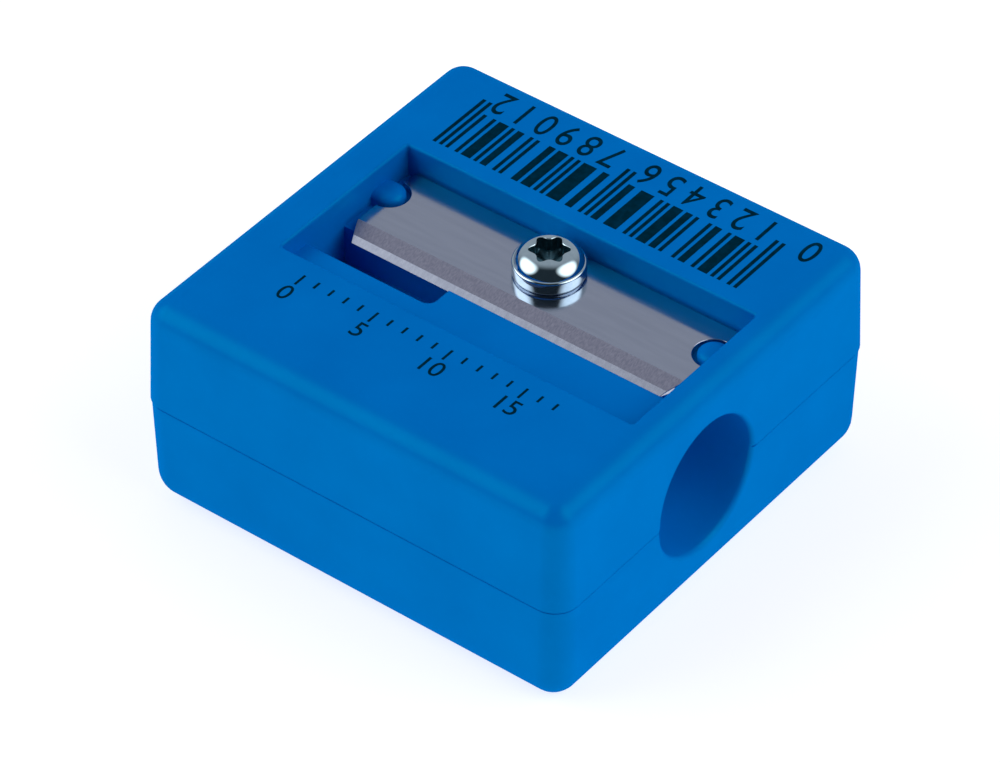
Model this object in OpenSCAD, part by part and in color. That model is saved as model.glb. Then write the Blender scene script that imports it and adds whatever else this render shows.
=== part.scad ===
// One-hole block pencil sharpener: a moulded plastic body, a flat steel blade and its screw.
// The origin is the middle of the base. +X runs out of the pencil hole's mouth, +Y points to the
// blade's back edge and +Z is up. Every length is in millimetres and every angle in degrees.

/* [Body] */
// Width of the body along X, at the mould line
body_w = 28.55; // [28:0.05:34]
// Depth of the body along Y, at the mould line
body_d = 28.1; // [26:0.1:34]
// Height of the body
body_h = 13.75; // [13:0.05:17]
// Height of the mould line above the base
mould_line_z = 7; // [5:0.05:8]
// How far each side leans in between the mould line and the top or the base
draft = 0.15; // [0:0.01:0.4]
// How far the lower half stands back from the upper half at the mould line
mould_step = 0.05; // [0:0.01:0.2]
// Radius of the four upright corners
corner_r = 1.5; // [1:0.05:3]
// Radius of the edges round the top face
top_edge_r = 1.45; // [0.6:0.05:1.6]
// Radius of the edges round the base
base_edge_r = 1.9; // [0.6:0.05:2]
// Thickness of the side walls round the hollow underside
side_wall = 2.8; // [2.4:0.1:3.2]
// Plastic over the front and back parts of the hollow
top_wall = 2.2; // [1.5:0.1:3]
// Plastic under the blade, over the middle part of the hollow
bed_wall = 1.8; // [1.2:0.1:2.5]
// Thickness of the webs in the hollow
web_t = 1.4; // [1:0.1:2]
// How far the webs stop short of the base
web_lift = 1; // [0.5:0.1:2]

/* [Pencil hole] */
// Radius of the straight guide at the mouth
hole_r = 4.1; // [3.8:0.05:4.4]
// Angle between the sharpening cone's wall and its axis
cone_angle = 11.5; // [10.5:0.1:12]
// Length of the straight guide along the hole's axis
guide_len = 3; // [1.5:0.1:3.5]
// Place of the hole's axis along Y
hole_y = -1.1; // [-2:0.05:0]
// Radius of the cone's small end, where the lead comes out
tip_r = 0.5; // [0.4:0.05:0.8]
// Length of the clear way for the lead past the cone
tip_run = 2.4; // [1:0.1:3]
// Plastic round the cone, below the bed
tube_wall = 1.5; // [1:0.1:2]

/* [Blade] */
// Length of the blade along X
blade_l = 22; // [21:0.1:23]
// Width of the blade from the cutting edge to the back edge
blade_w = 6.4; // [6:0.1:7.5]
// Thickness of the blade
blade_t = 0.5; // [0.4:0.05:0.7]
// Depth of the blade's top face below the top of the body
blade_sink = 1.65; // [1.5:0.05:2]
// Place of the blade's middle along X
blade_x = 0.5; // [0:0.05:0.6]
// Width of the ground band along the cutting edge
grind_w = 0.95; // [0.6:0.05:1.5]
// Part of the blade's thickness that the ground band takes off
grind_share = 0.57; // [0.4:0.01:0.7]
// Width of the honed facet at the cutting edge
hone_w = 0.46; // [0.3:0.02:0.7]
// Chamfer of the blade's two front corners along X
blade_corner_x = 0.6; // [0.2:0.05:1]
// Chamfer of the blade's two front corners along Y
blade_corner_y = 1.3; // [0.2:0.05:1.6]
// Radius of the half-round notch in each end of the blade
notch_r = 1.2; // [1:0.05:1.5]
// Distance of the screw and the two notches from the blade's back edge
screw_inset = 2.25; // [2:0.05:2.6]

/* [Pocket in the top] */
// Gap between the blade's left end and the pocket's wall
left_gap = 0.6; // [0.3:0.05:0.8]
// Gap between the blade's right end and the pocket's wall
right_gap = 0.95; // [0.3:0.05:1.1]
// Gap between the blade's back edge and the pocket's wall
back_gap = 0.15; // [0.1:0.05:0.5]
// Depth of the shelf in front of the cutting edge
shelf_depth = 1.3; // [0.8:0.05:1.6]
// Width of the shelf, from the pocket's front wall to its lip
shelf_w = 3.95; // [3.2:0.05:4.6]
// Gap for the shavings between the lip and the cutting edge
throat = 0.5; // [0.3:0.05:1]
// How far the bed stands back under the cutting edge
bed_relief = 0.9; // [0.6:0.05:1.1]
// How far the throat is cut down past the bed
throat_drop = 0.5; // [0.4:0.05:0.8]
// Length of the clearing slot at the lead's end, from the pocket's left wall
slot_l = 8.35; // [6:0.05:9]
// How far the clearing slot cuts into the shelf
slot_w = 1.65; // [1:0.05:2]
// Depth of the clearing slot's floor below the top of the body
slot_depth = 4.6; // [4:0.1:5.5]
// Radius of the clearing slot's front right corner
slot_corner_r = 0.5; // [0.2:0.05:0.8]
// Plastic round the clearing slot, in the hollow
slot_wall = 1.2; // [0.8:0.1:1.6]

/* [Locating lugs] */
// Gap between a lug and the notch that it stands in
lug_gap = 0.22; // [0.12:0.02:0.35]
// How far a lug stands above the blade's top face
lug_rise = 0.35; // [0.2:0.05:0.6]
// Height of a lug's domed top
lug_dome = 0.4; // [0.2:0.05:0.6]

/* [Screw] */
// Radius of the screw's head
head_r = 2.07; // [1.9:0.01:2.3]
// Height of the head above the blade
head_h = 1.65; // [1.4:0.05:1.9]
// Height of the band round the head, up to the foot of the dome
head_band = 0.9; // [0.7:0.05:1.1]
// How far the band stands out past the dome, which is also the radius of its upper edge
band_step = 0.2; // [0.05:0.05:0.3]
// Radius of the round under the head's rim
head_foot_r = 0.25; // [0.1:0.05:0.4]
// Radius of the head's flat top
head_top_r = 0.9; // [0.6:0.05:1.2]
// Radius over the lobes of the driver recess
recess_r = 1.15; // [1:0.05:1.3]
// Depth of the driver recess
recess_depth = 0.9; // [0.6:0.05:1.1]
// Length of the shank below the head
shank_l = 6.5; // [5.5:0.1:7]
// Radius over the thread's crests
thread_r = 1.1; // [1:0.05:1.25]
// Depth of the thread
thread_depth = 0.3; // [0.15:0.05:0.4]
// Rise of the thread in one turn
thread_pitch = 0.8; // [0.6:0.05:1]
// Play of the thread's crests in the body's hole
thread_gap = 0.05; // [0.03:0.01:0.08]
// Play of the shank in the blade's hole
shank_gap = 0.25; // [0.1:0.05:0.4]
// Length of the pointed end
point_l = 1; // [0.6:0.1:1.5]
// Depth left in the hole under the screw's point
hole_spare = 0.5; // [0.2:0.1:1]
// Plastic round and under the screw's hole
boss_wall = 1.3; // [1:0.1:1.6]

/* [Hidden] */
$fn = 64;
// Cuts reach this far past the face that they open
past = 1;
// Thickness of a disc that only marks a corner, and overlap of two stretches of one cut
sliver = 0.05;

// Heights
blade_top_z = body_h - blade_sink;
bed_z = blade_top_z - blade_t;
shelf_z = body_h - shelf_depth;
slot_z = body_h - slot_depth;

// The cone's uppermost line lies in the plane of the bed, under the cutting edge
cone_l = (hole_r - tip_r) / tan(cone_angle);
apex_to_mouth = hole_r / tan(cone_angle) + guide_len;
mouth_x = body_w / 2;
mouth_z = bed_z - apex_to_mouth * sin(cone_angle);

// Blade, with its cutting edge over the hole's axis
edge_y = hole_y;
blade_back_y = edge_y + blade_w;
blade_left_x = blade_x - blade_l / 2;
blade_right_x = blade_x + blade_l / 2;
facet_y = edge_y + hone_w;
facet_z = blade_top_z - blade_t * grind_share;
grind_y = facet_y + grind_w;
screw_y = blade_back_y - screw_inset;

// Pocket
pocket_left_x = blade_left_x - left_gap;
pocket_right_x = blade_right_x + right_gap;
lip_y = edge_y - throat;
pocket_front_y = lip_y - shelf_w;
pocket_back_y = blade_back_y + back_gap;
bed_front_y = edge_y + bed_relief;
slot_right_x = pocket_left_x + slot_l;
slot_front_y = lip_y - slot_w;

// Lugs, one in each notch
lug_r = notch_r - lug_gap;
lug_h = blade_t + lug_rise;
lug_foot = bed_wall / 2;

// Screw
core_r = thread_r - thread_depth;
point_r = core_r / 4;
screw_hole_r = thread_r + thread_gap;
screw_hole_depth = shank_l - blade_t + hole_spare;
recess_lobe_r = 0.22 * recess_r;
recess_mid_r = 0.72 * recess_r;
thread_top = -blade_t - thread_pitch / 2;
thread_turns = (shank_l + thread_top - point_l / 2) / thread_pitch;

// Half of the body, from its wide face at z = 0 to its rounded face at z = h
module rounded_half(w, d, h, edge_r) {
    hull() {
        for (sx = [-1, 1], sy = [-1, 1]) {
            translate([sx * (w / 2 - corner_r), sy * (d / 2 - corner_r), 0])
                cylinder(r = corner_r, h = sliver, $fn = 32);
            translate([sx * (w / 2 - draft - edge_r), sy * (d / 2 - draft - edge_r), h - edge_r])
                sphere(r = edge_r, $fn = 32);
        }
        translate([draft + edge_r - w / 2, draft + edge_r - d / 2, h - edge_r])
            cube([w - 2 * (draft + edge_r), d - 2 * (draft + edge_r), edge_r]);
    }
}

module outer_block() {
    translate([0, 0, mould_line_z])
        rounded_half(body_w, body_d, body_h - mould_line_z, top_edge_r);
    translate([0, 0, mould_line_z])
        mirror([0, 0, 1])
            rounded_half(body_w - 2 * mould_step, body_d - 2 * mould_step, mould_line_z, base_edge_r);
}

// Places its children at the middle of the hole's mouth, with +Z running out of the hole
module at_mouth() {
    translate([mouth_x, hole_y, mouth_z])
        rotate([0, 90 + cone_angle, 0])
            children();
}

// The space that the pencil and its lead take, or the plastic round it where extra is not 0
module pencil_space(extra = 0) {
    at_mouth() {
        translate([0, 0, -guide_len])
            cylinder(r = hole_r + extra, h = guide_len + hole_r * tan(cone_angle) + past);
        translate([0, 0, -guide_len - cone_l])
            cylinder(r1 = tip_r + extra, r2 = hole_r + extra, h = cone_l);
        translate([0, 0, -guide_len - cone_l - tip_run])
            cylinder(r = tip_r + extra, h = tip_run + sliver, $fn = 32);
    }
}

// A block from one corner to the other
module block_between(low, high) {
    translate(low)
        cube(high - low);
}

// The hollow underside: a deep front and back part, a middle part under the bed
module hollow() {
    inner_x = body_w / 2 - mould_step - side_wall;
    inner_y = body_d / 2 - mould_step - side_wall;
    deep_z = body_h - top_wall;
    front_y = pocket_front_y - bed_wall;
    back_y = pocket_back_y + bed_wall;
    difference() {
        union() {
            block_between([-inner_x, -inner_y, -past], [inner_x, inner_y, bed_z - bed_wall]);
            block_between([-inner_x, -inner_y, -past], [inner_x, front_y, deep_z]);
            block_between([-inner_x, back_y, -past], [inner_x, inner_y, deep_z]);
        }
        pencil_space(tube_wall);
        slot_housing();
        screw_boss();
        webs();
    }
}

module slot_housing() {
    block_between(
        [-body_w / 2, slot_front_y - slot_wall, slot_z - slot_wall],
        [slot_right_x + slot_wall, bed_front_y + slot_wall, body_h]);
}

module screw_boss() {
    boss_h = screw_hole_depth + boss_wall;
    translate([blade_x, screw_y, bed_z - boss_h])
        cylinder(r = screw_hole_r + boss_wall, h = boss_h);
}

// One web under the cone along X, one from the boss to the back wall
module webs() {
    block_between(
        [-body_w / 2, hole_y - web_t / 2, web_lift],
        [body_w / 2, hole_y + web_t / 2, body_h]);
    block_between(
        [blade_x - web_t / 2, screw_y, web_lift],
        [blade_x + web_t / 2, body_d / 2, body_h]);
}

// The clearing slot's outline: two rectangles and a round make its one round corner
module slot_outline() {
    length = slot_l;
    width = bed_front_y - slot_front_y;
    translate([pocket_left_x, slot_front_y])
        union() {
            square([length - slot_corner_r, width]);
            translate([0, slot_corner_r])
                square([length, width - slot_corner_r]);
            translate([length - slot_corner_r, slot_corner_r])
                circle(r = slot_corner_r, $fn = 32);
        }
}

module pocket() {
    above = body_h + past;
    block_between([pocket_left_x, pocket_front_y, shelf_z], [pocket_right_x, pocket_back_y, above]);
    block_between([pocket_left_x, bed_front_y, bed_z], [pocket_right_x, pocket_back_y, above]);
    block_between(
        [slot_right_x - slot_corner_r, lip_y, bed_z - throat_drop],
        [pocket_right_x, bed_front_y, above]);
    translate([0, 0, slot_z])
        linear_extrude(height = slot_depth + past)
            slot_outline();
}

module screw_hole() {
    translate([blade_x, screw_y, bed_z - screw_hole_depth])
        cylinder(r = screw_hole_r, h = screw_hole_depth + past);
}

// Half of a lug's section, from its middle line outwards, with its foot sunk into the bed
function lug_half_section() = concat(
    [[0, -lug_foot], [lug_r, -lug_foot]],
    [for (a = [0 : 15 : 90]) [lug_r * cos(a), lug_h - lug_dome + lug_dome * sin(a)]]);

// A round stud with a domed top, drawn out along -X into the pocket's end wall
module lug(run) {
    rotate_extrude($fn = 32)
        polygon(lug_half_section());
    rotate([90, 0, -90])
        linear_extrude(height = run)
            union() {
                polygon(lug_half_section());
                mirror([1, 0])
                    polygon(lug_half_section());
            }
}

// Each lug stands in one notch of the blade
module lugs() {
    translate([blade_left_x, screw_y, bed_z])
        lug(left_gap + lug_foot);
    translate([blade_right_x, screw_y, bed_z])
        mirror([1, 0, 0])
            lug(right_gap + lug_foot);
}

module body() {
    color("#0064b4")
        union() {
            difference() {
                outer_block();
                hollow();
                pencil_space();
                pocket();
                screw_hole();
            }
            lugs();
        }
}

// The blade's section across its cutting edge, in Y and Z
module blade_section() {
    polygon([
        [edge_y, bed_z],
        [blade_back_y, bed_z],
        [blade_back_y, blade_top_z],
        [grind_y, blade_top_z],
        [facet_y, facet_z]]);
}

module blade() {
    color("#a0a5aa")
        difference() {
            translate([blade_left_x, 0, 0])
                rotate([90, 0, 90])
                    linear_extrude(height = blade_l)
                        blade_section();
            translate([blade_x, screw_y, bed_z - past])
                cylinder(r = thread_r + shank_gap, h = blade_t + 2 * past);
            for (x = [blade_left_x, blade_right_x])
                translate([x, screw_y, bed_z - past])
                    cylinder(r = notch_r, h = blade_t + 2 * past);
            for (side = [[blade_left_x, 1], [blade_right_x, -1]])
                translate([side[0], edge_y, bed_z - past])
                    linear_extrude(height = blade_t + 2 * past)
                        polygon([
                            [-side[1] * past, -past],
                            [side[1] * blade_corner_x, -past],
                            [side[1] * blade_corner_x, 0],
                            [0, blade_corner_y],
                            [-side[1] * past, blade_corner_y]]);
        }
}

// The pan head: a rounded foot, a band with a round upper edge, a dome and a flat top
module screw_head() {
    dome_w = head_r - band_step - head_top_r;
    dome_h = head_h - head_band;
    foot = [for (a = [0 : 18 : 90])
        [head_r - head_foot_r * (1 - sin(a)), head_foot_r * (1 - cos(a))]];
    band_edge = [for (a = [0 : 18 : 72])
        [head_r - band_step * (1 - cos(a)), head_band - band_step * (1 - sin(a))]];
    dome = [for (a = [0 : 9 : 90])
        [head_top_r + dome_w * cos(a), head_band + dome_h * sin(a)]];
    rotate_extrude()
        polygon(concat([[0, 0]], foot, band_edge, dome, [[0, head_h]]));
}

// Six lobes round a middle hole
module driver_recess() {
    translate([0, 0, head_h - recess_depth])
        linear_extrude(height = recess_depth + past)
            union() {
                circle(r = recess_mid_r);
                for (k = [0 : 5])
                    rotate(60 * k)
                        translate([recess_r - recess_lobe_r, 0])
                            circle(r = recess_lobe_r, $fn = 24);
            }
}

module screw_shank() {
    translate([0, 0, -shank_l + point_l])
        cylinder(r = core_r, h = shank_l - point_l + head_band / 2);
    translate([0, 0, -shank_l])
        cylinder(r1 = point_r, r2 = core_r, h = point_l);
}

// The thread as one swept ridge: each section has its root inside the core and its crest outside
module screw_thread() {
    steps = 12;
    count = floor(thread_turns * steps);
    // The root lies inside the core, and the ridge fades in and out over half a turn
    root_r = 0.85 * core_r;
    fade = steps / 2;
    root_half = 0.36 * thread_pitch;
    crest_half = 0.05 * thread_pitch;
    function crest(i) =
        root_r + sliver + (thread_r - root_r - sliver) * min(1, min(i, count - i) / fade);
    function ring(i) =
        let (a = -360 * i / steps, z = thread_top - thread_pitch * i / steps, c = crest(i))
        [
            [root_r * cos(a), root_r * sin(a), z + root_half],
            [c * cos(a), c * sin(a), z + crest_half],
            [c * cos(a), c * sin(a), z - crest_half],
            [root_r * cos(a), root_r * sin(a), z - root_half]
        ];
    points = [for (i = [0 : count]) for (p = ring(i)) p];
    sides = [for (i = [0 : count - 1]) for (k = [0 : 3])
        let (a = 4 * i + k, b = 4 * i + (k + 1) % 4)
        each [[a, b, b + 4], [a, b + 4, a + 4]]];
    last = 4 * count;
    ends = [[0, 2, 1], [0, 3, 2], [last, last + 1, last + 2], [last, last + 2, last + 3]];
    polyhedron(points = points, faces = concat(sides, ends), convexity = 10);
}

module blade_screw() {
    color("#b8c0c6")
        translate([blade_x, screw_y, blade_top_z])
            difference() {
                union() {
                    screw_head();
                    screw_shank();
                    screw_thread();
                }
                driver_recess();
            }
}

body();
blade();
blade_screw();
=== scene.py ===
"""The looks of a one-hole block pencil sharpener: its body, its print, the blade and the screw.

Every mesh is shaped in millimetres, in the row's own frame, and becomes metres when it is finished.
"""

import math

import bmesh
import bpy
from mathutils import Matrix, Vector


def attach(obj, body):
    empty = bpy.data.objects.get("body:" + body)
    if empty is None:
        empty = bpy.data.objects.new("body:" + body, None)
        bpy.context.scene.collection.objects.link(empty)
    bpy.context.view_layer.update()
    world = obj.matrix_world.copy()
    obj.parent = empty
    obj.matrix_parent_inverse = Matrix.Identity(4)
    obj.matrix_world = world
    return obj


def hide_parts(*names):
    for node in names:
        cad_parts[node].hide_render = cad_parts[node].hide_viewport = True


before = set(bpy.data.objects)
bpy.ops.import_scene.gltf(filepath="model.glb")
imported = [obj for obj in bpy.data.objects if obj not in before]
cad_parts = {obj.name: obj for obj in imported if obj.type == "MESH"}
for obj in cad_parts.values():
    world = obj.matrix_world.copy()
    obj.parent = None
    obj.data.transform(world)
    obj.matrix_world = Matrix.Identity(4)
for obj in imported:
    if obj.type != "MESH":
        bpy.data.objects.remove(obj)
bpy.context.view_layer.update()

# ---------------------------------------------------------------- camera
# The camera stands in front of the body, to its right and well above it. It is far back behind a
# long lens, so that the upright edges stay nearly parallel.
lens_data = bpy.data.cameras.new("camera")
lens_data.sensor_width = 36
lens_data.lens = 202.31
lens_data.clip_start = 0.01
camera = bpy.data.objects.new("camera", lens_data)
camera.location = (0.139608, -0.182649, 0.207818)
heading, height, lean = math.radians(37.490), math.radians(41.258), math.radians(0.132)
camera.rotation_euler = (
    Matrix.Rotation(heading, 3, "Z")
    @ Matrix.Rotation(math.pi / 2 - height, 3, "X")
    @ Matrix.Rotation(lean, 3, "Z")).to_euler()
bpy.context.collection.objects.link(camera)
bpy.context.scene.camera = camera

# ---------------------------------------------------------------- body
# One injection moulding in satin blue plastic. Its outside is a block with rounded edges, a fine
# step where the two halves of the mould met, and sides that lean in a little above and below it.
BODY_W, BODY_D, BODY_H = 28.55, 28.1, 13.738
MOULD_LINE_Z, MOULD_STEP = 7.0, 0.05
# The groove under the mould line: its depth, and how far down its roof, its wall and its foot end
GROOVE_INSET, GROOVE_TOP, GROOVE_LOW, GROOVE_FOOT = 0.17, 0.01, 0.1, 0.12
UPPER_LEAN, LOWER_LEAN = 0.17, 0.08
TOP_EDGE_R, BASE_EDGE_R = 1.45, 1.9
TOP_CORNER_R, MOULD_CORNER_R, BASE_CORNER_R, LEAST_CORNER_R = 1.42, 1.5, 1.6, 0.05
CORNER_STEPS, EDGE_STEPS, RIM_STEPS = 8, 10, 6
# Vertices closer together than this become one
WELD = 0.0005


def loft(sides, rings):
    """A closed solid through rings of points. Each ring gives a point's place from its number."""
    shape = bmesh.new()
    number = shape.verts.layers.int.new("number")
    verts = bmesh.ops.create_circle(shape, segments=sides, radius=1, cap_ends=True)["verts"]
    for count, vert in enumerate(verts):
        vert[number] = count
    shape.faces.ensure_lookup_table()
    foot = lid = shape.faces[0]
    for step, ring in enumerate(rings):
        if step:
            grown = bmesh.ops.extrude_face_region(shape, geom=[lid])["geom"]
            if lid is not foot:
                bmesh.ops.delete(shape, geom=[lid], context="FACES_ONLY")
            lid = next(part for part in grown if isinstance(part, bmesh.types.BMFace))
            verts = [part for part in grown if isinstance(part, bmesh.types.BMVert)]
        for vert in verts:
            vert.co = ring(vert[number])
    bmesh.ops.recalc_face_normals(shape, faces=shape.faces)
    return shape


def solid_from(shape, name):
    """A bmesh as an object, still in millimetres."""
    mesh = bpy.data.meshes.new(name)
    shape.to_mesh(mesh)
    shape.free()
    solid = bpy.data.objects.new(name, mesh)
    bpy.context.collection.objects.link(solid)
    return solid


def body_outline(inset, radius, z):
    """A rectangle with round corners, this far inside the outline at the mould line."""
    radius = max(radius, LEAST_CORNER_R)

    def place(number):
        corner, step = divmod(number, CORNER_STEPS + 1)
        angle = math.radians(90 * (corner + step / CORNER_STEPS))
        side_x, side_y = ((1, 1), (-1, 1), (-1, -1), (1, -1))[corner]
        return (side_x * (BODY_W / 2 - inset - radius) + radius * math.cos(angle),
                side_y * (BODY_D / 2 - inset - radius) + radius * math.sin(angle),
                z)
    return place


def quarter_turn(steps):
    """The angles of a quarter turn in even steps, both ends included."""
    return [math.radians(90 * step / steps) for step in range(steps + 1)]


outlines = []
for turn in quarter_turn(EDGE_STEPS):
    drawn_in = BASE_EDGE_R * (1 - math.sin(turn))
    outlines.append(body_outline(MOULD_STEP + LOWER_LEAN + drawn_in, BASE_CORNER_R - drawn_in,
                                 BASE_EDGE_R * (1 - math.cos(turn))))
# The upper half stands a hair proud of the lower one, and a fine groove runs under its edge
for inset, drop in ((MOULD_STEP, GROOVE_FOOT), (GROOVE_INSET, GROOVE_LOW),
                    (GROOVE_INSET, GROOVE_TOP), (0, 0)):
    outlines.append(body_outline(inset, MOULD_CORNER_R, MOULD_LINE_Z - drop))
for turn in quarter_turn(EDGE_STEPS):
    drawn_in = TOP_EDGE_R * (1 - math.cos(turn))
    outlines.append(body_outline(UPPER_LEAN + drawn_in, TOP_CORNER_R - drawn_in,
                                 BODY_H - TOP_EDGE_R * (1 - math.sin(turn))))
body = solid_from(loft(4 * (CORNER_STEPS + 1), outlines), "body_moulding")


def combine(solid, operation, *tools):
    """Cuts, joins or crosses a solid with others, which are used up."""
    for tool in tools:
        step = solid.modifiers.new("combine", "BOOLEAN")
        step.solver = "EXACT"
        step.operation = operation
        step.object = tool
    graph = bpy.context.evaluated_depsgraph_get()
    mesh = bpy.data.meshes.new_from_object(solid.evaluated_get(graph))
    solid.modifiers.clear()
    old, solid.data = solid.data, mesh
    bpy.data.meshes.remove(old)
    for tool in tools:
        bpy.data.meshes.remove(tool.data)
    return solid


def add_block(shape, low, high):
    """A block from one corner to the other. Returns its vertices."""
    verts = bmesh.ops.create_cube(shape, size=1)["verts"]
    low, high = Vector(low), Vector(high)
    bmesh.ops.scale(shape, vec=high - low, verts=verts)
    bmesh.ops.translate(shape, vec=(low + high) / 2, verts=verts)
    return verts


def round_uprights(shape, radius, only):
    """Rounds a block's upright edges where only(x, y) holds."""
    upright = [edge for edge in shape.edges
               if abs(edge.verts[0].co.z - edge.verts[1].co.z) > 0.01
               and only(edge.verts[0].co.x, edge.verts[0].co.y)]
    bmesh.ops.bevel(shape, geom=upright, offset=radius, segments=6, profile=0.5,
                    affect="EDGES", material=-1)


def block(name, low, high, upright_r=0.0):
    """A block as a tool, with its upright edges rounded."""
    shape = bmesh.new()
    add_block(shape, low, high)
    if upright_r:
        round_uprights(shape, upright_r, lambda x, y: True)
    return solid_from(shape, name)


# How much wider than its tool a slab is
SLAB_GROWTH = 1.2


def flared_block(name, low, high, lip_r, upright_r=0.0, only=lambda x, y: True, up=1):
    """A cutting tool that ends in a wider slab at its top, or at its base where up is -1.

    A round in the angle under the slab leaves a round rim where the tool cuts through a face.
    """
    shape = bmesh.new()
    add_block(shape, low, high)
    if upright_r:
        round_uprights(shape, upright_r, only)
    end = max(shape.faces, key=lambda face: face.calc_center_median().z * up)
    rim = list(end.edges)
    centre = (Vector(low) + Vector(high)) / 2
    size = Vector(high) - Vector(low)
    wider = (1 + SLAB_GROWTH / size.x, 1 + SLAB_GROWTH / size.y, 1)
    for stretch, rise in ((wider, 0), ((1, 1, 1), up)):
        grown = bmesh.ops.extrude_face_region(shape, geom=[end])["geom"]
        bmesh.ops.delete(shape, geom=[end], context="FACES_ONLY")
        corners = [part for part in grown if isinstance(part, bmesh.types.BMVert)]
        end = next(part for part in grown if isinstance(part, bmesh.types.BMFace))
        bmesh.ops.scale(shape, vec=stretch, space=Matrix.Translation(-centre), verts=corners)
        bmesh.ops.translate(shape, vec=(0, 0, rise), verts=corners)
    bmesh.ops.bevel(shape, geom=rim, offset=lip_r, segments=5, profile=0.5,
                    affect="EDGES", material=-1)
    bmesh.ops.recalc_face_normals(shape, faces=shape.faces)
    return solid_from(shape, name)


# The pocket in the top has a shelf in front, a bed for the blade behind it, a throat between the
# two and a deep slot at the lead's end, where the lead's tip can be cleared.
POCKET_LEFT_X, POCKET_RIGHT_X, POCKET_FRONT_Y, POCKET_BACK_Y = -11.1, 12.45, -5.55, 5.45
SHELF_Z, BED_Z, THROAT_Z, SLOT_Z = 12.45, 11.6, 11.1, 9.15
LIP_Y, BED_FRONT_Y, SLOT_FRONT_Y, SLOT_RIGHT_X = -1.6, -0.2, -3.25, -2.75
POCKET_LIP_R, POCKET_CORNER_R, THROAT_LIP_R, SLOT_CORNER_R = 0.2, 0.15, 0.3, 0.5
# A slab stands this far clear of the face that its tool cuts through
CLEAR = 0.002

pocket = flared_block("pocket", (POCKET_LEFT_X, POCKET_FRONT_Y, SHELF_Z),
                      (POCKET_RIGHT_X, POCKET_BACK_Y, BODY_H + CLEAR),
                      POCKET_LIP_R, POCKET_CORNER_R)
throat = flared_block("throat", (SLOT_RIGHT_X - 0.5, LIP_Y, THROAT_Z),
                      (POCKET_RIGHT_X, BED_FRONT_Y, SHELF_Z + CLEAR), THROAT_LIP_R)
# Of the slot's upright edges, only the front one on the right is round
slot = flared_block("slot", (POCKET_LEFT_X, SLOT_FRONT_Y, SLOT_Z),
                    (SLOT_RIGHT_X, BED_FRONT_Y, SHELF_Z + CLEAR), THROAT_LIP_R, SLOT_CORNER_R,
                    only=lambda x, y: x > -5 and y < -2)
combine(throat, "UNION", slot)
# Their slabs are wider than the pocket, so both are cut back to what lies inside it
combine(throat, "INTERSECT",
        block("inside", (POCKET_LEFT_X, POCKET_FRONT_Y + 0.3, 5),
              (POCKET_RIGHT_X, POCKET_BACK_Y, BODY_H)))
# The bed's tool reaches over the throat and the slot, so that no skin is left between them
bed = block("bed", (POCKET_LEFT_X, BED_FRONT_Y - 0.4, BED_Z),
            (POCKET_RIGHT_X, POCKET_BACK_Y, BODY_H - 0.5))
combine(pocket, "UNION", throat, bed)

# The pencil's space: a straight guide at the mouth, the sharpening cone and a narrow way for the
# lead. At the mouth its rings follow the leaning face and grow wider, which leaves a round rim.
HOLE_Y, HOLE_R, CONE_ANGLE = -1.1, 4.1, math.radians(11.5)
GUIDE_LENGTH, TIP_R, TIP_RUN, TUBE_WALL, MOUTH_R = 3.0, 0.5, 2.4, 1.5, 0.3
CONE_LENGTH = (HOLE_R - TIP_R) / math.tan(CONE_ANGLE)
MOUTH = Vector((BODY_W / 2, HOLE_Y, 6.984))
HOLE_SIDES = 96


def across_hole(radius, along):
    """A round ring square to the hole's axis, this far along it from the mouth."""
    def place(number):
        angle = math.tau * (number + 0.5) / HOLE_SIDES
        rise = radius * math.sin(angle)
        return MOUTH + Vector((along * math.cos(CONE_ANGLE) + rise * math.sin(CONE_ANGLE),
                               radius * math.cos(angle),
                               rise * math.cos(CONE_ANGLE) - along * math.sin(CONE_ANGLE)))
    return place


def face_x(z):
    """Where the right-hand face stands at this height."""
    if z > MOULD_LINE_Z:
        return BODY_W / 2 - UPPER_LEAN * (z - MOULD_LINE_Z) / (BODY_H - TOP_EDGE_R - MOULD_LINE_Z)
    return BODY_W / 2 - MOULD_STEP - LOWER_LEAN * (MOULD_LINE_Z - z) / (MOULD_LINE_Z - BASE_EDGE_R)


def along_face(depth, spread):
    """A ring where the hole, this much wider, meets the face moved out by this depth."""
    def place(number):
        angle = math.tau * (number + 0.5) / HOLE_SIDES
        z = MOUTH.z + (HOLE_R + spread) * math.sin(angle) / math.cos(CONE_ANGLE)
        x = face_x(z) + depth
        return (x, HOLE_Y + (HOLE_R + spread) * math.cos(angle),
                z - (x - MOUTH.x) * math.tan(CONE_ANGLE))
    return place


def lead_rings(extra):
    """The rings of the lead's way and of the cone, made wider by this much."""
    return [across_hole(TIP_R + extra, -GUIDE_LENGTH - CONE_LENGTH - TIP_RUN),
            across_hole(TIP_R + extra, -GUIDE_LENGTH - CONE_LENGTH),
            across_hole(HOLE_R + extra, -GUIDE_LENGTH)]


hole_rings = lead_rings(0) + [along_face(-MOUTH_R - 0.4, 0)]
for turn in quarter_turn(RIM_STEPS)[:-1]:
    hole_rings.append(along_face(MOUTH_R * (math.sin(turn) - 1), MOUTH_R * (1 - math.cos(turn))))
hole_rings += [along_face(CLEAR, MOUTH_R), along_face(1, MOUTH_R + 0.3)]
hole = solid_from(loft(HOLE_SIDES, hole_rings), "hole")
tube_rings = lead_rings(TUBE_WALL) + [across_hole(HOLE_R + TUBE_WALL, 2)]
tube = solid_from(loft(HOLE_SIDES, tube_rings), "tube")


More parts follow.
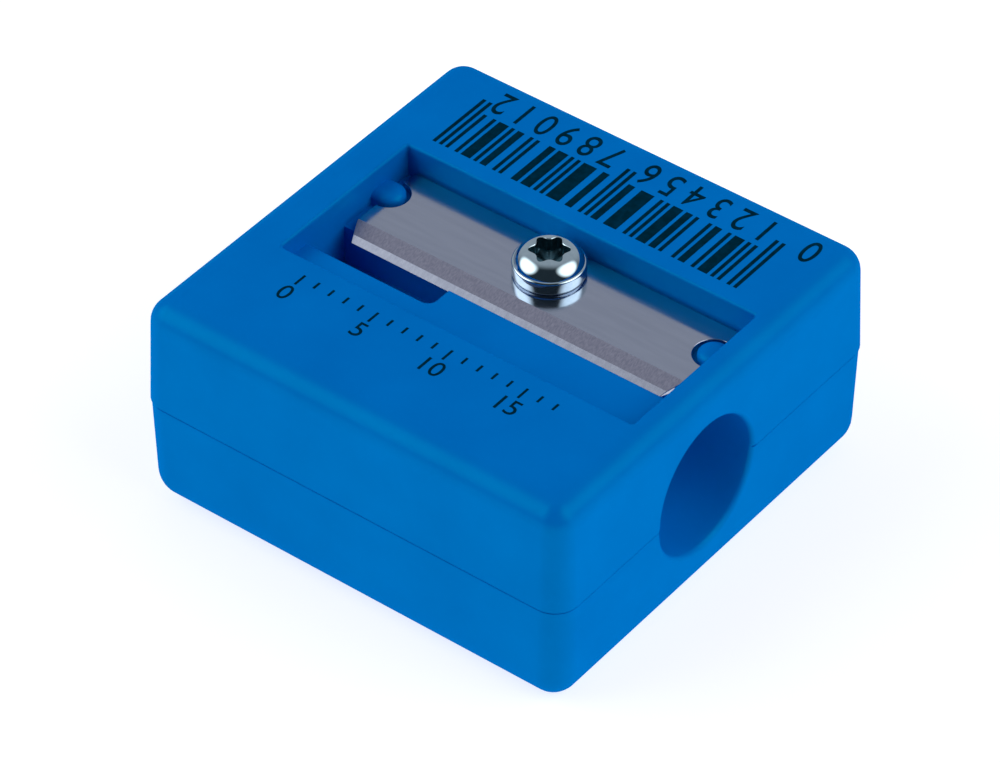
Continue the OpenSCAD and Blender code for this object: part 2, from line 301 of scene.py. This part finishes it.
def lathe(shape, outline, steps):
    """Turns an outline of (radius, height) pairs round Z, closed where the radius is 0."""
    verts = [shape.verts.new((radius, 0, height)) for radius, height in outline]
    edges = [shape.edges.new(pair) for pair in zip(verts, verts[1:])]
    bmesh.ops.spin(shape, geom=verts + edges, cent=(0, 0, 0), axis=(0, 0, 1),
                   angle=math.tau, steps=steps, use_merge=True)
    bmesh.ops.remove_doubles(shape, verts=shape.verts, dist=WELD)
    bmesh.ops.recalc_face_normals(shape, faces=shape.faces)


def rod(name, radius, x, y, low_z, high_z, steps=48):
    """An upright round tool."""
    shape = bmesh.new()
    lathe(shape, [(0, low_z), (radius, low_z), (radius, high_z), (0, high_z)], steps)
    bmesh.ops.translate(shape, vec=(x, y, 0), verts=shape.verts)
    return solid_from(shape, name)


# The hollow underside keeps walls of even thickness. The tube round the cone, the box round the
# slot, the screw's boss and two webs stand in it.
SCREW_X, SCREW_Y, SCREW_HOLE_R, SCREW_HOLE_DEPTH = 0.5, 3.05, 1.15, 6.5
INNER_X, INNER_Y, HOLLOW_TOP_Z, HOLLOW_LIP_R, HOLLOW_CORNER_R = 11.425, 11.2, 9.8, 0.35, 0.8
WELL_FOOT_Z, WELL_TOP_Z, FRONT_WELL_Y, BACK_WELL_Y, WELL_CORNER_R = 3, 11.55, -7.35, 7.25, 0.6
SLOT_WALL, BOSS_R, BOSS_L, WEB_HALF_T, WEB_FOOT_Z = 1.2, 2.45, 7.8, 0.7, 1
# Upright tools end at this height above the bed, and the webs' tools end past the body's walls
TOOL_TOP_Z, PAST_WALLS = 13, 14

hollow = flared_block("hollow", (-INNER_X, -INNER_Y, -CLEAR), (INNER_X, INNER_Y, HOLLOW_TOP_Z),
                      HOLLOW_LIP_R, HOLLOW_CORNER_R, up=-1)
front_well = block("front_well", (-INNER_X, -INNER_Y, WELL_FOOT_Z),
                   (INNER_X, FRONT_WELL_Y, WELL_TOP_Z), WELL_CORNER_R)
back_well = block("back_well", (-INNER_X, BACK_WELL_Y, WELL_FOOT_Z),
                  (INNER_X, INNER_Y, WELL_TOP_Z), WELL_CORNER_R)
combine(hollow, "UNION", front_well, back_well)
combine(hollow, "DIFFERENCE", tube,
        block("slot_box", (-PAST_WALLS, SLOT_FRONT_Y - SLOT_WALL, SLOT_Z - SLOT_WALL),
              (SLOT_RIGHT_X + SLOT_WALL, BED_FRONT_Y + SLOT_WALL, TOOL_TOP_Z), SLOT_CORNER_R),
        rod("boss", BOSS_R, SCREW_X, SCREW_Y, BED_Z - BOSS_L, 12),
        block("long_web", (-PAST_WALLS, HOLE_Y - WEB_HALF_T, WEB_FOOT_Z),
              (PAST_WALLS, HOLE_Y + WEB_HALF_T, TOOL_TOP_Z)),
        block("cross_web", (SCREW_X - WEB_HALF_T, SCREW_Y, WEB_FOOT_Z),
              (SCREW_X + WEB_HALF_T, PAST_WALLS, TOOL_TOP_Z)))

LUG_R, LUG_H, LUG_DOME, LUG_BEVEL = 0.92, 0.85, 0.4, 0.6
# The lug's wall ends at this height, before the lug is set down on the bed
LUG_DOME_FOOT = 1 - LUG_BEVEL


def lug(name, end_x, wall_x):
    """A round stud with a domed top, drawn out into the pocket's end wall."""
    shape = bmesh.new()
    bmesh.ops.create_cone(shape, cap_ends=True, segments=48, radius1=LUG_R, radius2=LUG_R, depth=2)
    lid = max(shape.faces, key=lambda face: face.calc_center_median().z)
    bmesh.ops.bevel(shape, geom=list(lid.edges), offset=LUG_BEVEL, segments=8, profile=0.5,
                    affect="EDGES", material=-1)
    for vert in shape.verts:
        # The bevel's height is squeezed to the dome's
        if vert.co.z > LUG_DOME_FOOT:
            vert.co.z = LUG_DOME_FOOT + (vert.co.z - LUG_DOME_FOOT) * LUG_DOME / LUG_BEVEL
    bmesh.ops.translate(shape, vec=(end_x, SCREW_Y, BED_Z + LUG_H - LUG_DOME_FOOT - LUG_DOME),
                        verts=shape.verts)
    far = [vert for vert in shape.verts if (vert.co.x - end_x) * (wall_x - end_x) > 0.001]
    bmesh.ops.translate(shape, vec=(wall_x - end_x, 0, 0), verts=far)
    return solid_from(shape, name)


BLADE_LEFT_X, BLADE_RIGHT_X = -10.5, 11.5
combine(body, "DIFFERENCE", hollow)
combine(body, "DIFFERENCE", hole)
combine(body, "DIFFERENCE", pocket,
        rod("screw_hole", SCREW_HOLE_R, SCREW_X, SCREW_Y, BED_Z - SCREW_HOLE_DEPTH, TOOL_TOP_Z))
combine(body, "UNION", lug("left_lug", BLADE_LEFT_X, POCKET_LEFT_X - 0.2),
        lug("right_lug", BLADE_RIGHT_X, POCKET_RIGHT_X + 0.2))


def finish(piece, crease=30.0):
    """Brings a piece to metres, and shades it smooth up to the sharp edges."""
    shape = bmesh.new()
    shape.from_mesh(piece.data)
    bmesh.ops.remove_doubles(shape, verts=shape.verts, dist=WELD)
    bmesh.ops.dissolve_degenerate(shape, edges=shape.edges, dist=WELD)
    bmesh.ops.scale(shape, vec=(0.001, 0.001, 0.001), verts=shape.verts)
    shape.to_mesh(piece.data)
    shape.free()
    piece.data.polygons.foreach_set("use_smooth", [True] * len(piece.data.polygons))
    piece.data.set_sharp_from_angle(angle=math.radians(crease))
    even = piece.modifiers.new("even_shading", "WEIGHTED_NORMAL")
    even.keep_sharp = True
    return piece


# Most of a noise's values lie between these two
NOISE_LOW, NOISE_HIGH = 0.3, 0.7


class Look:
    """A material of one Principled shader, fed by noises that lie on the object."""

    def __init__(self, name, roughness, metallic=0.0, stretch=(1, 1, 1)):
        self.material = bpy.data.materials.new(name)
        self.material.use_nodes = True
        self.tree = self.material.node_tree
        self.shader = self.tree.nodes["Principled BSDF"]
        self.shader.inputs["Roughness"].default_value = roughness
        self.shader.inputs["Metallic"].default_value = metallic
        place = self.tree.nodes.new("ShaderNodeTexCoord")
        self.stretched = self.tree.nodes.new("ShaderNodeVectorMath")
        self.stretched.operation = "MULTIPLY"
        self.stretched.inputs[1].default_value = stretch
        self.link(place.outputs["Object"], self.stretched.inputs[0])

    def link(self, output, socket):
        self.tree.links.new(output, socket)

    def noise(self, scale, detail=2.0):
        """A noise, this many of whose grains go to a metre."""
        grains = self.tree.nodes.new("ShaderNodeTexNoise")
        grains.inputs["Scale"].default_value = scale
        grains.inputs["Detail"].default_value = detail
        self.link(self.stretched.outputs["Vector"], grains.inputs["Vector"])
        return grains.outputs["Fac"]

    def colour(self, value, dark, light, start=NOISE_LOW, end=NOISE_HIGH):
        """Feeds the base colour from a noise, between two shades."""
        ramp = self.tree.nodes.new("ShaderNodeValToRGB")
        for element, position, shade in zip(
                ramp.color_ramp.elements, (start, end), (dark, light)):
            element.position = position
            element.color = (*shade, 1)
        self.link(value, ramp.inputs["Fac"])
        self.link(ramp.outputs["Color"], self.shader.inputs["Base Color"])

    def bump(self, height, strength, distance):
        """Bumps of this height in metres."""
        bump = self.tree.nodes.new("ShaderNodeBump")
        bump.inputs["Strength"].default_value = strength
        bump.inputs["Distance"].default_value = distance
        self.link(height, bump.inputs["Height"])
        self.link(bump.outputs["Normal"], self.shader.inputs["Normal"])

    def spread(self, value, socket, low, high):
        """Feeds a noise to one of the shader's sockets, between two values."""
        spread = self.tree.nodes.new("ShaderNodeMapRange")
        spread.inputs["From Min"].default_value = NOISE_LOW
        spread.inputs["From Max"].default_value = NOISE_HIGH
        spread.inputs["To Min"].default_value = low
        spread.inputs["To Max"].default_value = high
        self.link(value, spread.inputs["Value"])
        self.link(spread.outputs["Result"], self.shader.inputs[socket])

    def sheen(self, colour, roughness):
        """Puts a gloss of this colour in the place of the shader's own white one."""
        self.shader.inputs["Specular IOR Level"].default_value = 0
        gloss = self.tree.nodes.new("ShaderNodeBsdfGlossy")
        gloss.inputs["Color"].default_value = (*colour, 1)
        gloss.inputs["Roughness"].default_value = roughness
        self.link(self.shader.inputs["Normal"].links[0].from_socket, gloss.inputs["Normal"])
        both = self.tree.nodes.new("ShaderNodeAddShader")
        self.link(self.shader.outputs["BSDF"], both.inputs[0])
        self.link(gloss.outputs["BSDF"], both.inputs[1])
        self.link(both.outputs["Shader"], self.tree.nodes["Material Output"].inputs["Surface"])


finish(body)
plastic = Look("blue_plastic", 0.42)
plastic.colour(plastic.noise(220, 3), (0.0, 0.147, 0.53), (0.0, 0.164, 0.57))
plastic.spread(plastic.noise(1500), "Roughness", 0.38, 0.46)
plastic.bump(plastic.noise(9000), 0.25, 0.00001)
plastic.sheen((0.0, 0.031, 0.034), 0.3)
body.data.materials.clear()
body.data.materials.append(plastic.material)
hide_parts("body")
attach(body, "housing")

# ---------------------------------------------------------------- print
# Dark ink on the top face, a few hundredths of a millimetre thick. Behind the pocket stands a row
# of bars that mean nothing, with plain figures along it, and in front a short millimetre scale.
INK_LOW_Z, INK_HIGH_Z = BODY_H - 0.008, BODY_H + 0.012
BARS_RIGHT_X, BARS_FRONT_Y, BARS_BACK_Y, GUARDS_BACK_Y = 10.35, 6.55, 10.1, 11.15
BAR_UNIT = 20.6 / 95
FIGURES_Y, FIGURE_HEIGHT, FIGURE_NARROWING = 11.42, 1.85, 0.78
SCALE_X, MARK_LEFT_X, MARK_RIGHT_X, MARKS_Y, SCALE_FIGURES_Y = -8.5, -8.57, -8.43, -6.7, -8.4
SCALE_MM, MARK_L, LONG_MARK_L, SCALE_FIGURE_HEIGHT = 17, 0.55, 0.9, 1.15

ink = bmesh.new()
# Each pair is the width of a gap and of the bar after it, in bar units
half_row = ((2, 1), (1, 1), (1, 3), (1, 1), (2, 2), (1, 1), (3, 1), (1, 2), (1, 3), (1, 1),
            (1, 1), (2, 4), (2, 2))
long_pair = [(1, 1, GUARDS_BACK_Y)] * 2
row = [(0, 1, GUARDS_BACK_Y), (1, 1, GUARDS_BACK_Y)]
row += [(gap, bar, BARS_BACK_Y) for gap, bar in half_row] + long_pair
row += [(gap, bar, BARS_BACK_Y) for gap, bar in reversed(half_row)] + long_pair
bar_x = BARS_RIGHT_X
for gap, width, back_y in row:
    bar_x -= gap * BAR_UNIT
    add_block(ink, (bar_x - width * BAR_UNIT, BARS_FRONT_Y, INK_LOW_Z),
              (bar_x, back_y, INK_HIGH_Z))
    bar_x -= width * BAR_UNIT


def figure(words, x, y, height, narrow=1.0, turned=False):
    """Adds plain figures to the ink, centred on x and y and this high."""
    curve = bpy.data.curves.new("figure", "FONT")
    curve.body = words
    # The figure is 1 thick, and the scaling below makes that the ink's thickness
    curve.extrude = 0.5
    carrier = bpy.data.objects.new("figure", curve)
    bpy.context.collection.objects.link(carrier)
    graph = bpy.context.evaluated_depsgraph_get()
    mesh = bpy.data.meshes.new_from_object(carrier.evaluated_get(graph))
    bpy.data.objects.remove(carrier)
    bpy.data.curves.remove(curve)
    glyphs = bmesh.new()
    glyphs.from_mesh(mesh)
    bmesh.ops.remove_doubles(glyphs, verts=glyphs.verts, dist=0.0001)
    lows = [min(vert.co[axis] for vert in glyphs.verts) for axis in range(3)]
    highs = [max(vert.co[axis] for vert in glyphs.verts) for axis in range(3)]
    size = height / (highs[1] - lows[1])
    bmesh.ops.translate(glyphs, vec=[-(low + high) / 2 for low, high in zip(lows, highs)],
                        verts=glyphs.verts)
    bmesh.ops.scale(glyphs, vec=(size * narrow, size, INK_HIGH_Z - INK_LOW_Z), verts=glyphs.verts)
    if turned:
        bmesh.ops.rotate(glyphs, cent=(0, 0, 0), matrix=Matrix.Rotation(math.pi, 3, "Z"),
                         verts=glyphs.verts)
    bmesh.ops.translate(glyphs, vec=(x, y, (INK_LOW_Z + INK_HIGH_Z) / 2), verts=glyphs.verts)
    glyphs.to_mesh(mesh)
    glyphs.free()
    ink.from_mesh(mesh)
    bpy.data.meshes.remove(mesh)


# Each run of figures: where its first one stands and how far apart they are
for digits, first_x, apart in (("0", 11.76, 0), ("123456", 8.85, 1.574), ("789012", -1.57, 1.504)):
    for count, digit in enumerate(digits):
        figure(digit, first_x - apart * count, FIGURES_Y, FIGURE_HEIGHT, FIGURE_NARROWING,
               turned=True)
for count in range(SCALE_MM + 1):
    length = LONG_MARK_L if count % 5 == 0 else MARK_L
    add_block(ink, (count + MARK_LEFT_X, MARKS_Y - length, INK_LOW_Z),
              (count + MARK_RIGHT_X, MARKS_Y, INK_HIGH_Z))
    if count % 5 == 0:
        figure(str(count), count + SCALE_X, SCALE_FIGURES_Y, SCALE_FIGURE_HEIGHT)

print_piece = finish(solid_from(ink, "top_print"))
dried_ink = Look("printing_ink", 0.4)
dried_ink.colour(dried_ink.noise(2500, 3), (0.0, 0.012, 0.025), (0.0, 0.022, 0.05), 0.35, 0.75)
dried_ink.bump(dried_ink.noise(6000), 0.2, 0.00001)
dried_ink.sheen((0.0, 0.012, 0.016), 0.4)
print_piece.data.materials.append(dried_ink.material)
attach(print_piece, "housing")

# ---------------------------------------------------------------- blade
# Flat hardened steel, ground thin along its front edge and then honed to a narrow bright facet. It
# lies on the bed, its notches stand round the two lugs, and the screw's head clamps it.
BLADE_TOP_Z, BLADE_BACK_Y, EDGE_Y = 12.1, 5.3, -1.1
FACET_Y, FACET_Z, GRIND_Y = -0.64, 11.815, 0.31
NOTCH_R, BLADE_HOLE_R = 1.2, 1.35
# The cut-off front corners reach this far along the edge and along the ends
CUT_X, CUT_Y = 0.6, 1.3

steel = bmesh.new()
add_block(steel, (BLADE_LEFT_X, EDGE_Y - 1, BED_Z), (BLADE_RIGHT_X, BLADE_BACK_Y, BLADE_TOP_Z))


def slice_off(point, normal):
    """Takes off what lies past a plane, and closes the cut."""
    cut = bmesh.ops.bisect_plane(steel, geom=steel.verts[:] + steel.edges[:] + steel.faces[:],
                                 plane_co=point, plane_no=normal, clear_outer=True)["geom_cut"]
    rim = [part for part in cut if isinstance(part, bmesh.types.BMEdge)]
    bmesh.ops.edgeloop_fill(steel, edges=rim)


slice_off((0, EDGE_Y, BED_Z), (0, BED_Z - FACET_Z, FACET_Y - EDGE_Y))
slice_off((0, GRIND_Y, BLADE_TOP_Z), (0, FACET_Z - BLADE_TOP_Z, GRIND_Y - FACET_Y))
slice_off((BLADE_LEFT_X + CUT_X, EDGE_Y, BED_Z), (-CUT_Y, -CUT_X, 0))
slice_off((BLADE_RIGHT_X - CUT_X, EDGE_Y, BED_Z), (CUT_Y, -CUT_X, 0))
bmesh.ops.recalc_face_normals(steel, faces=steel.faces)
blade = solid_from(steel, "cutting_blade")
combine(blade, "DIFFERENCE", *(
    rod(name, radius, x, SCREW_Y, 11, TOOL_TOP_Z, 96) for name, radius, x in (
        ("left_notch", NOTCH_R, BLADE_LEFT_X), ("right_notch", NOTCH_R, BLADE_RIGHT_X),
        ("blade_hole", BLADE_HOLE_R, SCREW_X))))
worn = blade.modifiers.new("worn_edges", "BEVEL")
worn.limit_method = "ANGLE"
worn.angle_limit = math.radians(50)
worn.width = 0.00003
worn.segments = 2
finish(blade, 6)
for face in blade.data.polygons:
    # The flat, the ground band at 17 degrees and the honed facet at 25 each have their own finish
    slope = math.degrees(face.normal.angle(Vector((0, 0, 1))))
    face.material_index = 1 if 10 < slope < 20 else 2 if 20 < slope < 30 else 0

rolled = Look("rolled_steel", 0.13, 1.0, (0.1, 1, 1))
rolled.colour(rolled.noise(3000, 3), (0.46, 0.49, 0.58), (0.50, 0.53, 0.62))
rolled.spread(rolled.noise(1500), "Roughness", 0.11, 0.17)
ground = Look("ground_steel", 0.4, 1.0, (1, 0.12, 1))
ground.colour(ground.noise(16000, 3), (0.26, 0.26, 0.33), (0.39, 0.38, 0.46))
ground.bump(ground.noise(16000), 0.35, 0.000002)
honed = Look("honed_steel", 0.15, 1.0, (1, 0.1, 1))
honed.colour(honed.noise(5000), (0.40, 0.42, 0.50), (0.48, 0.50, 0.58))
for look in (rolled, ground, honed):
    blade.data.materials.append(look.material)
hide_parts("blade")
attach(blade, "blade")

# ---------------------------------------------------------------- screw
# A plated pan-head screw that forms its own thread in the plastic. Its head is a dome over a wider
# band, with a six-lobe recess, and it holds the blade down.
HEAD_R, HEAD_H, HEAD_TOP_R, HEAD_FOOT_R = 2.07, 1.648, 0.9, 0.25
HEAD_BAND, BAND_STEP, DOME_STEPS = 0.9, 0.14, 12
# The head's foot stands a hair clear of the blade, and the dome still leans in by this many degrees
# where it meets the band
HEAD_FOOT_Z, DOME_LEAN = 0.001, 20
CORE_R, THREAD_R, SHANK_L, POINT_L, POINT_R, POINT_RISE = 0.8, 1.1, 6.5, 1.0, 0.2, 0.05
THREAD_TOP, THREAD_PITCH, THREAD_TURNS, THREAD_STEPS = -0.9, 0.8, 6, 36
LOBE_OUT_R, LOBE_IN_R, LOBE_TURN, LOBE_SIDES = 1.15, 0.84, math.radians(-22.4), 144
RECESS_RIM_R, RECESS_RIM_STEPS = 0.06, 5

lean_sin, lean_cos = math.sin(math.radians(DOME_LEAN)), math.cos(math.radians(DOME_LEAN))
profile = [(0, HEAD_H)]
for step in range(DOME_STEPS + 1):
    turn = math.radians(90 - (90 - DOME_LEAN) / DOME_STEPS * step)
    out, up = math.cos(turn) / lean_cos, math.sin(turn) - lean_sin
    profile.append((HEAD_TOP_R + (HEAD_R - BAND_STEP - HEAD_TOP_R) * out,
                    HEAD_BAND + (HEAD_H - HEAD_BAND) * up / (1 - lean_sin)))
for turn in quarter_turn(RIM_STEPS)[-2::-1]:
    profile.append((HEAD_R - BAND_STEP * (1 - math.cos(turn)),
                    HEAD_BAND - BAND_STEP * (1 - math.sin(turn))))
for turn in quarter_turn(RIM_STEPS)[::-1]:
    profile.append((HEAD_R - HEAD_FOOT_R * (1 - math.sin(turn)),
                    HEAD_FOOT_Z + HEAD_FOOT_R * (1 - math.cos(turn))))
profile += [(CORE_R, HEAD_FOOT_Z), (CORE_R, POINT_L - SHANK_L),
            (POINT_R, -SHANK_L + POINT_RISE), (0, -SHANK_L)]
turned = bmesh.new()
lathe(turned, profile, 96)
screw = solid_from(turned, "clamping_screw")


def lobes(extra, z):
    """A ring of the six-lobe recess, this much wider."""
    def place(number):
        angle = math.tau * number / LOBE_SIDES
        out = (0.5 + 0.5 * math.cos(6 * (angle - LOBE_TURN))) ** 1.3
        radius = LOBE_IN_R + (LOBE_OUT_R - LOBE_IN_R) * out + extra
        return (radius * math.cos(angle), radius * math.sin(angle), z)
    return place


# The recess has a coned floor, a small round at its foot, upright walls and a round rim
recess_rings = [lobes(-0.7, 0.6), lobes(-0.04, 0.78), lobes(0, 0.84)]
for turn in quarter_turn(RECESS_RIM_STEPS)[:-1]:
    recess_rings.append(lobes(RECESS_RIM_R * (1 - math.cos(turn)),
                              HEAD_H - RECESS_RIM_R * (1 - math.sin(turn))))
recess_rings.append(lobes(0.4, HEAD_H + 0.3))
combine(screw, "DIFFERENCE", solid_from(loft(LOBE_SIDES, recess_rings), "recess"))

# The thread's ridge is a wedge, with its root inside the core
RIDGE_ROOT_R, RIDGE_ROOT_HALF_W, RIDGE_CREST_HALF_W, RIDGE_END_R = 0.7, 0.28, 0.04, 0.72

ridge = bmesh.new()
corners = [ridge.verts.new((radius, 0, z)) for radius, z in (
    (RIDGE_ROOT_R, RIDGE_ROOT_HALF_W), (THREAD_R, RIDGE_CREST_HALF_W),
    (THREAD_R, -RIDGE_CREST_HALF_W), (RIDGE_ROOT_R, -RIDGE_ROOT_HALF_W))]
sides = [ridge.edges.new((corner, corners[count - 1])) for count, corner in enumerate(corners)]
bmesh.ops.spin(ridge, geom=corners + sides, cent=(0, 0, 0), axis=(0, 0, 1),
               angle=-math.tau * THREAD_TURNS, steps=THREAD_STEPS * THREAD_TURNS,
               dvec=(0, 0, -THREAD_PITCH / THREAD_STEPS))
bmesh.ops.holes_fill(ridge, edges=ridge.edges, sides=4)
for vert in ridge.verts:
    # Only the ridge's crest lies this far out, and it fades in and out over half a turn
    radius = math.hypot(vert.co.x, vert.co.y)
    if radius > 0.9:
        gone = min(-vert.co.z, vert.co.z + THREAD_TURNS * THREAD_PITCH) / (THREAD_PITCH / 2)
        small = RIDGE_END_R + (radius - RIDGE_END_R) * max(0.0, min(1.0, gone))
        vert.co.x *= small / radius
        vert.co.y *= small / radius
bmesh.ops.translate(ridge, vec=(0, 0, THREAD_TOP), verts=ridge.verts)
bmesh.ops.recalc_face_normals(ridge, faces=ridge.faces)
combine(screw, "UNION", solid_from(ridge, "thread"))
screw.data.transform(Matrix.Translation((SCREW_X, SCREW_Y, BLADE_TOP_Z)))
finish(screw)

plating = Look("zinc_plating", 0.07, 1.0)
plating.colour(plating.noise(1800, 3), (0.50, 0.62, 0.66), (0.60, 0.72, 0.76))
plating.spread(plating.noise(3000), "Roughness", 0.04, 0.08)
# The recess's plating is painted near black: painted shade standing for the shade inside it
shaded_recess = Look("recess_painted_shade", 0.3, 1.0)
shaded_recess.colour(shaded_recess.noise(2500, 3), (0.05, 0.12, 0.15), (0.11, 0.21, 0.25))
for look in (plating, shaded_recess):
    screw.data.materials.append(look.material)
for face in screw.data.polygons:
    # The recess is rougher than the outside, and its near-black colour is painted shade
    spot = face.center * 1000 - Vector((SCREW_X, SCREW_Y, BLADE_TOP_Z))
    inside = math.hypot(spot.x, spot.y) < 1.16 and 0.1 < spot.z < HEAD_H - 0.07
    face.material_index = int(inside)
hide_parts("blade_screw")
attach(screw, "screw")

# ---------------------------------------------------------------- floor and lights
# A pale floor. Two large softboxes stand on the camera's left and right, and a broad dim wall
# behind the object. The rest of the studio is dark, which gives the steel its dark reflections.
FLOOR_HALF_W, STUDIO_DARK = 1.5, (0.02, 0.03, 0.04)
floor_shape = bmesh.new()
bmesh.ops.create_grid(floor_shape, x_segments=1, y_segments=1, size=FLOOR_HALF_W)
floor = solid_from(floor_shape, "floor")
paper = Look("pale_floor", 0.9)
paper.colour(paper.noise(40), (0.50, 0.50, 0.50), (0.52, 0.52, 0.52))
paper.shader.inputs["Emission Color"].default_value = (1, 1, 1, 1)
paper.shader.inputs["Emission Strength"].default_value = 0.72
floor.data.materials.append(paper.material)

world = bpy.data.worlds.new("studio")
world.use_nodes = True
studio, background = world.node_tree, world.node_tree.nodes["Background"]
direction = studio.nodes.new("ShaderNodeTexCoord").outputs["Generated"]
glow = None
# Each light: heading and height in degrees, half-widths of its core and of its fading edge, colour
for heading, height, core, edge, colour in (
        (-143, 33, 11, 37, (2.3, 2.4, 2.5)),
        (21, 36, 12, 38, (2.1, 2.2, 2.3)),
        (125, 34, 35, 82, (0.36, 0.38, 0.43))):
    heading, height = math.radians(heading), math.radians(height)
    facing = studio.nodes.new("ShaderNodeVectorMath")
    facing.operation = "DOT_PRODUCT"
    facing.inputs[1].default_value = (
        math.cos(heading) * math.cos(height), math.sin(heading) * math.cos(height),
        math.sin(height))
    studio.links.new(direction, facing.inputs[0])
    fade = studio.nodes.new("ShaderNodeMapRange")
    fade.interpolation_type = "SMOOTHSTEP"
    fade.inputs["From Min"].default_value = math.cos(math.radians(edge))
    fade.inputs["From Max"].default_value = math.cos(math.radians(core))
    studio.links.new(facing.outputs["Value"], fade.inputs["Value"])
    light = studio.nodes.new("ShaderNodeVectorMath")
    light.operation = "MULTIPLY_ADD"
    light.inputs[1].default_value = colour
    light.inputs[2].default_value = STUDIO_DARK
    studio.links.new(fade.outputs["Result"], light.inputs[0])
    if glow:
        studio.links.new(glow, light.inputs[2])
    glow = light.outputs["Vector"]
studio.links.new(glow, background.inputs["Color"])
bpy.context.scene.world = world
bpy.context.scene.view_settings.view_transform = "Standard"
